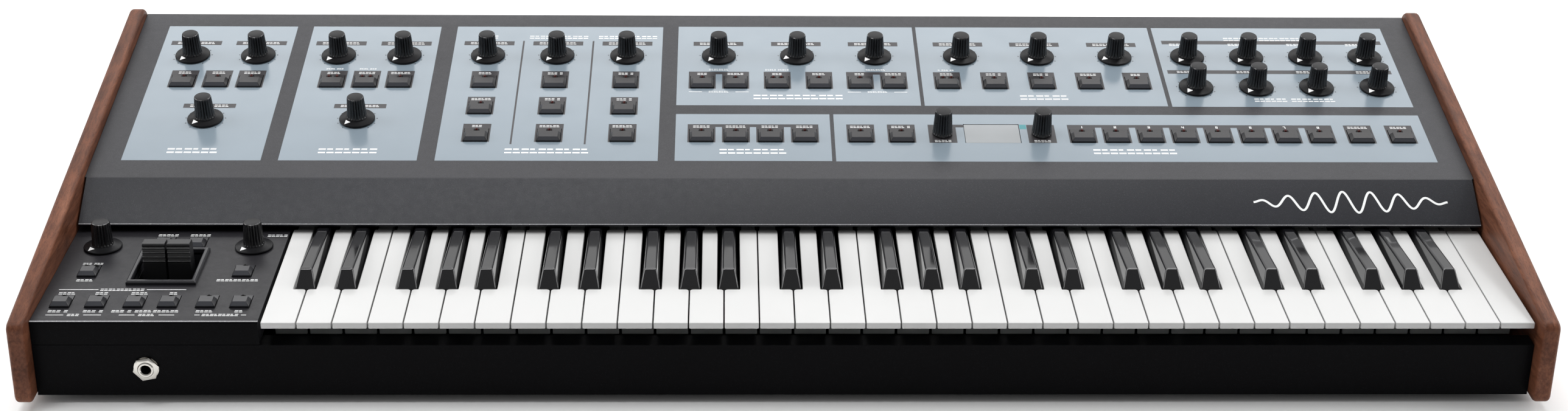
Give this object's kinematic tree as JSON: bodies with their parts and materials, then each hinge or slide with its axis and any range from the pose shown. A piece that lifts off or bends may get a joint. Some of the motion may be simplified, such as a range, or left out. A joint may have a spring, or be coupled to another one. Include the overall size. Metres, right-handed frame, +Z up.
{
  "type": "synthesizer",
  "caption": "Five-octave keyboard synthesizer with a sloping control panel of knobs and buttons, a lever box beside the keys and wooden end cheeks.",
  "frame": {"origin": "centre of the base, on the surface that the feet stand on, midway across the cheeks and the depth", "axes": "+X along the keyboard to the player's right, +Y away from the player, +Z up"},
  "size_m": [1.0214, 0.4196, 0.1359],
  "materials": {
    "case_paint": "fine textured black powder coat",
    "panel_paint": "satin charcoal with printed blue-grey fields",
    "walnut": "oiled dark walnut",
    "white_key": "smooth ivory-white gloss",
    "black_key": "polished black",
    "knob_plastic": "satin black with white marks",
    "button_plastic": "satin dark grey with a red lamp lens",
    "lever_plastic": "satin black, ridged",
    "display_glass": "smoked display window",
    "nickel": "bright nickel plate",
    "inlet_plastic": "moulded black",
    "circuit_board": "green solder mask",
    "foot_rubber": "black rubber"
  },
  "bodies": {
    "root": {"case_bottom": "case_paint", "top_panel": "panel_paint", "left_cheek": "walnut", "right_cheek": "walnut", "lever_box": "panel_paint", "key_bed": "case_paint", "display_window": "display_glass", "headphone_jack": "nickel", "power_inlet": "inlet_plastic", "control_board": "circuit_board", "foot_front_left": "foot_rubber", "foot_back_left": "foot_rubber", "foot_front_right": "foot_rubber", "foot_back_right": "foot_rubber"},
    "pitch_lever": {"pitch_lever": "lever_plastic"},
    "modulation_lever": {"modulation_lever": "lever_plastic"},
    "white_keys_octave_1": {"white_keys_octave_1": "white_key"},
    "white_keys_octave_2": {"white_keys_octave_2": "white_key"},
    "white_keys_octave_3": {"white_keys_octave_3": "white_key"},
    "white_keys_octave_4": {"white_keys_octave_4": "white_key"},
    "white_keys_octave_5": {"white_keys_octave_5": "white_key"},
    "black_keys_octave_1": {"black_keys_octave_1": "black_key"},
    "black_keys_octave_2": {"black_keys_octave_2": "black_key"},
    "black_keys_octave_3": {"black_keys_octave_3": "black_key"},
    "black_keys_octave_4": {"black_keys_octave_4": "black_key"},
    "black_keys_octave_5": {"black_keys_octave_5": "black_key"},
    "master_buttons": {"master_buttons": "button_plastic"},
    "control_buttons": {"control_buttons": "button_plastic"},
    "modulation_buttons": {"modulation_buttons": "button_plastic"},
    "oscillator_buttons": {"oscillator_buttons": "button_plastic"},
    "filter_buttons": {"filter_buttons": "button_plastic"},
    "programmer_buttons": {"programmer_buttons": "button_plastic"},
    "lever_box_buttons": {"lever_box_buttons": "button_plastic"},
    "master_knob_left": {"master_knob_left": "knob_plastic"},
    "master_knob_right": {"master_knob_right": "knob_plastic"},
    "master_knob_lower": {"master_knob_lower": "knob_plastic"},
    "control_knob_left": {"control_knob_left": "knob_plastic"},
    "control_knob_right": {"control_knob_right": "knob_plastic"},
    "control_knob_lower": {"control_knob_lower": "knob_plastic"},
    "modulation_knob_1": {"modulation_knob_1": "knob_plastic"},
    "modulation_knob_2": {"modulation_knob_2": "knob_plastic"},
    "modulation_knob_3": {"modulation_knob_3": "knob_plastic"},
    "oscillator_knob_1": {"oscillator_knob_1": "knob_plastic"},
    "oscillator_knob_2": {"oscillator_knob_2": "knob_plastic"},
    "oscillator_knob_3": {"oscillator_knob_3": "knob_plastic"},
    "filter_knob_1": {"filter_knob_1": "knob_plastic"},
    "filter_knob_2": {"filter_knob_2": "knob_plastic"},
    "filter_knob_3": {"filter_knob_3": "knob_plastic"},
    "filter_attack_knob": {"filter_attack_knob": "knob_plastic"},
    "filter_decay_knob": {"filter_decay_knob": "knob_plastic"},
    "filter_sustain_knob": {"filter_sustain_knob": "knob_plastic"},
    "filter_release_knob": {"filter_release_knob": "knob_plastic"},
    "amplifier_attack_knob": {"amplifier_attack_knob": "knob_plastic"},
    "amplifier_decay_knob": {"amplifier_decay_knob": "knob_plastic"},
    "amplifier_sustain_knob": {"amplifier_sustain_knob": "knob_plastic"},
    "amplifier_release_knob": {"amplifier_release_knob": "knob_plastic"},
    "encoder_left": {"encoder_left": "knob_plastic"},
    "encoder_right": {"encoder_right": "knob_plastic"},
    "lever_box_knob_left": {"lever_box_knob_left": "knob_plastic"},
    "lever_box_knob_right": {"lever_box_knob_right": "knob_plastic"}
  },
  "joints": [
    {"name": "pitch_lever_tilt", "type": "hinge", "parent": "root", "child": "pitch_lever", "pos_m": [-0.42395, -0.11315, 0.0385], "axis": [1, 0, 0], "range_deg": [-22, 22], "stiffness_Nm_per_rad": 0.25},
    {"name": "modulation_lever_tilt", "type": "hinge", "parent": "root", "child": "modulation_lever", "pos_m": [-0.42395, -0.11315, 0.0385], "axis": [1, 0, 0], "range_deg": [-22, 22], "stiffness_Nm_per_rad": 0.25},
    {"name": "white_keys_1_press", "type": "hinge", "parent": "root", "child": "white_keys_octave_1", "pos_m": [0.07485, -0.00815, 0.05], "axis": [1, 0, 0], "range_deg": [0, 3], "stiffness_Nm_per_rad": 4, "springref_deg": -5.73},
    {"name": "white_keys_2_press", "type": "hinge", "parent": "root", "child": "white_keys_octave_2", "pos_m": [0.07485, -0.00815, 0.05], "axis": [1, 0, 0], "range_deg": [0, 3], "stiffness_Nm_per_rad": 4, "springref_deg": -5.73},
    {"name": "white_keys_3_press", "type": "hinge", "parent": "root", "child": "white_keys_octave_3", "pos_m": [0.07485, -0.00815, 0.05], "axis": [1, 0, 0], "range_deg": [0, 3], "stiffness_Nm_per_rad": 4, "springref_deg": -5.73},
    {"name": "white_keys_4_press", "type": "hinge", "parent": "root", "child": "white_keys_octave_4", "pos_m": [0.07485, -0.00815, 0.05], "axis": [1, 0, 0], "range_deg": [0, 3], "stiffness_Nm_per_rad": 4, "springref_deg": -5.73},
    {"name": "white_keys_5_press", "type": "hinge", "parent": "root", "child": "white_keys_octave_5", "pos_m": [0.07485, -0.00815, 0.05], "axis": [1, 0, 0], "range_deg": [0, 3], "stiffness_Nm_per_rad": 4, "springref_deg": -5.73},
    {"name": "black_keys_1_press", "type": "hinge", "parent": "root", "child": "black_keys_octave_1", "pos_m": [0.07485, -0.00815, 0.05], "axis": [1, 0, 0], "range_deg": [0, 3], "stiffness_Nm_per_rad": 3, "springref_deg": -5.73},
    {"name": "black_keys_2_press", "type": "hinge", "parent": "root", "child": "black_keys_octave_2", "pos_m": [0.07485, -0.00815, 0.05], "axis": [1, 0, 0], "range_deg": [0, 3], "stiffness_Nm_per_rad": 3, "springref_deg": -5.73},
    {"name": "black_keys_3_press", "type": "hinge", "parent": "root", "child": "black_keys_octave_3", "pos_m": [0.07485, -0.00815, 0.05], "axis": [1, 0, 0], "range_deg": [0, 3], "stiffness_Nm_per_rad": 3, "springref_deg": -5.73},
    {"name": "black_keys_4_press", "type": "hinge", "parent": "root", "child": "black_keys_octave_4", "pos_m": [0.07485, -0.00815, 0.05], "axis": [1, 0, 0], "range_deg": [0, 3], "stiffness_Nm_per_rad": 3, "springref_deg": -5.73},
    {"name": "black_keys_5_press", "type": "hinge", "parent": "root", "child": "black_keys_octave_5", "pos_m": [0.07485, -0.00815, 0.05], "axis": [1, 0, 0], "range_deg": [0, 3], "stiffness_Nm_per_rad": 3, "springref_deg": -5.73},
    {"name": "master_buttons_press", "type": "slide", "parent": "root", "child": "master_buttons", "axis": [0, 0.1597, -0.9872], "range_m": [0, 0.0015], "stiffness_N_per_m": 800, "springref_m": -0.003},
    {"name": "control_buttons_press", "type": "slide", "parent": "root", "child": "control_buttons", "axis": [0, 0.1597, -0.9872], "range_m": [0, 0.0015], "stiffness_N_per_m": 800, "springref_m": -0.003},
    {"name": "modulation_buttons_press", "type": "slide", "parent": "root", "child": "modulation_buttons", "axis": [0, 0.1597, -0.9872], "range_m": [0, 0.0015], "stiffness_N_per_m": 800, "springref_m": -0.003},
    {"name": "oscillator_buttons_press", "type": "slide", "parent": "root", "child": "oscillator_buttons", "axis": [0, 0.1597, -0.9872], "range_m": [0, 0.0015], "stiffness_N_per_m": 800, "springref_m": -0.003},
    {"name": "filter_buttons_press", "type": "slide", "parent": "root", "child": "filter_buttons", "axis": [0, 0.1597, -0.9872], "range_m": [0, 0.0015], "stiffness_N_per_m": 800, "springref_m": -0.003},
    {"name": "programmer_buttons_press", "type": "slide", "parent": "root", "child": "programmer_buttons", "axis": [0, 0.1597, -0.9872], "range_m": [0, 0.0015], "stiffness_N_per_m": 800, "springref_m": -0.003},
    {"name": "lever_box_buttons_press", "type": "slide", "parent": "root", "child": "lever_box_buttons", "axis": [0, 0, -1], "range_m": [0, 0.0015], "stiffness_N_per_m": 600, "springref_m": -0.003},
    {"name": "master_knob_left_turn", "type": "hinge", "parent": "root", "child": "master_knob_left", "pos_m": [-0.45215, 0.14177, 0.11497], "axis": [0, -0.1597, 0.9872], "range_deg": [-300, 0]},
    {"name": "master_knob_right_turn", "type": "hinge", "parent": "root", "child": "master_knob_right", "pos_m": [-0.40195, 0.14177, 0.11497], "axis": [0, -0.1597, 0.9872], "range_deg": [-300, 0]},
    {"name": "master_knob_lower_turn", "type": "hinge", "parent": "root", "child": "master_knob_lower", "pos_m": [-0.42685, 0.05165, 0.10039], "axis": [0, -0.1597, 0.9872], "range_deg": [-300, 0]},
    {"name": "control_knob_left_turn", "type": "hinge", "parent": "root", "child": "control_knob_left", "pos_m": [-0.34015, 0.14177, 0.11497], "axis": [0, -0.1597, 0.9872], "range_deg": [-300, 0]},
    {"name": "control_knob_right_turn", "type": "hinge", "parent": "root", "child": "control_knob_right", "pos_m": [-0.28965, 0.14177, 0.11497], "axis": [0, -0.1597, 0.9872], "range_deg": [-300, 0]},
    {"name": "control_knob_lower_turn", "type": "hinge", "parent": "root", "child": "control_knob_lower", "pos_m": [-0.31485, 0.05165, 0.10039], "axis": [0, -0.1597, 0.9872], "range_deg": [-300, 0]},
    {"name": "modulation_knob_1_turn", "type": "hinge", "parent": "root", "child": "modulation_knob_1", "pos_m": [-0.22535, 0.14256, 0.1151], "axis": [0, -0.1597, 0.9872], "range_deg": [-300, 0]},
    {"name": "modulation_knob_2_turn", "type": "hinge", "parent": "root", "child": "modulation_knob_2", "pos_m": [-0.17185, 0.14256, 0.1151], "axis": [0, -0.1597, 0.9872], "range_deg": [-300, 0]},
    {"name": "modulation_knob_3_turn", "type": "hinge", "parent": "root", "child": "modulation_knob_3", "pos_m": [-0.11795, 0.14256, 0.1151], "axis": [0, -0.1597, 0.9872], "range_deg": [-300, 0]},
    {"name": "oscillator_knob_1_turn", "type": "hinge", "parent": "root", "child": "oscillator_knob_1", "pos_m": [-0.04705, 0.14256, 0.1151], "axis": [0, -0.1597, 0.9872], "range_deg": [-300, 0]},
    {"name": "oscillator_knob_2_turn", "type": "hinge", "parent": "root", "child": "oscillator_knob_2", "pos_m": [0.01345, 0.14256, 0.1151], "axis": [0, -0.1597, 0.9872], "range_deg": [-300, 0]},
    {"name": "oscillator_knob_3_turn", "type": "hinge", "parent": "root", "child": "oscillator_knob_3", "pos_m": [0.07345, 0.14256, 0.1151], "axis": [0, -0.1597, 0.9872], "range_deg": [-300, 0]},
    {"name": "filter_knob_1_turn", "type": "hinge", "parent": "root", "child": "filter_knob_1", "pos_m": [0.13995, 0.14256, 0.1151], "axis": [0, -0.1597, 0.9872], "range_deg": [-300, 0]},
    {"name": "filter_knob_2_turn", "type": "hinge", "parent": "root", "child": "filter_knob_2", "pos_m": [0.19995, 0.14256, 0.1151], "axis": [0, -0.1597, 0.9872], "range_deg": [-300, 0]},
    {"name": "filter_knob_3_turn", "type": "hinge", "parent": "root", "child": "filter_knob_3", "pos_m": [0.26035, 0.14256, 0.1151], "axis": [0, -0.1597, 0.9872], "range_deg": [-300, 0]},
    {"name": "filter_attack_knob_turn", "type": "hinge", "parent": "root", "child": "filter_attack_knob", "pos_m": [0.31705, 0.14286, 0.11515], "axis": [0, -0.1597, 0.9872], "range_deg": [-300, 0]},
    {"name": "filter_decay_knob_turn", "type": "hinge", "parent": "root", "child": "filter_decay_knob", "pos_m": [0.36325, 0.14286, 0.11515], "axis": [0, -0.1597, 0.9872], "range_deg": [-300, 0]},
    {"name": "filter_sustain_knob_turn", "type": "hinge", "parent": "root", "child": "filter_sustain_knob", "pos_m": [0.40945, 0.14286, 0.11515], "axis": [0, -0.1597, 0.9872], "range_deg": [-300, 0]},
    {"name": "filter_release_knob_turn", "type": "hinge", "parent": "root", "child": "filter_release_knob", "pos_m": [0.45585, 0.14286, 0.11515], "axis": [0, -0.1597, 0.9872], "range_deg": [-300, 0]},
    {"name": "amplifier_attack_knob_turn", "type": "hinge", "parent": "root", "child": "amplifier_attack_knob", "pos_m": [0.31705, 0.09854, 0.10798], "axis": [0, -0.1597, 0.9872], "range_deg": [-300, 0]},
    {"name": "amplifier_decay_knob_turn", "type": "hinge", "parent": "root", "child": "amplifier_decay_knob", "pos_m": [0.36325, 0.09854, 0.10798], "axis": [0, -0.1597, 0.9872], "range_deg": [-300, 0]},
    {"name": "amplifier_sustain_knob_turn", "type": "hinge", "parent": "root", "child": "amplifier_sustain_knob", "pos_m": [0.40945, 0.09854, 0.10798], "axis": [0, -0.1597, 0.9872], "range_deg": [-300, 0]},
    {"name": "amplifier_release_knob_turn", "type": "hinge", "parent": "root", "child": "amplifier_release_knob", "pos_m": [0.45585, 0.09854, 0.10798], "axis": [0, -0.1597, 0.9872], "range_deg": [-300, 0]},
    {"name": "encoder_left_turn", "type": "hinge", "parent": "root", "child": "encoder_left", "pos_m": [0.11855, 0.03388, 0.09751], "axis": [0, -0.1597, 0.9872], "continuous": true},
    {"name": "encoder_right_turn", "type": "hinge", "parent": "root", "child": "encoder_right", "pos_m": [0.19205, 0.03388, 0.09751], "axis": [0, -0.1597, 0.9872], "continuous": true},
    {"name": "lever_box_knob_left_turn", "type": "hinge", "parent": "root", "child": "lever_box_knob_left", "pos_m": [-0.47545, -0.08425, 0.061], "axis": [0, 0, 1], "range_deg": [-300, 0]},
    {"name": "lever_box_knob_right_turn", "type": "hinge", "parent": "root", "child": "lever_box_knob_right", "pos_m": [-0.37075, -0.08375, 0.061], "axis": [0, 0, 1], "range_deg": [-300, 0]}
  ]
}
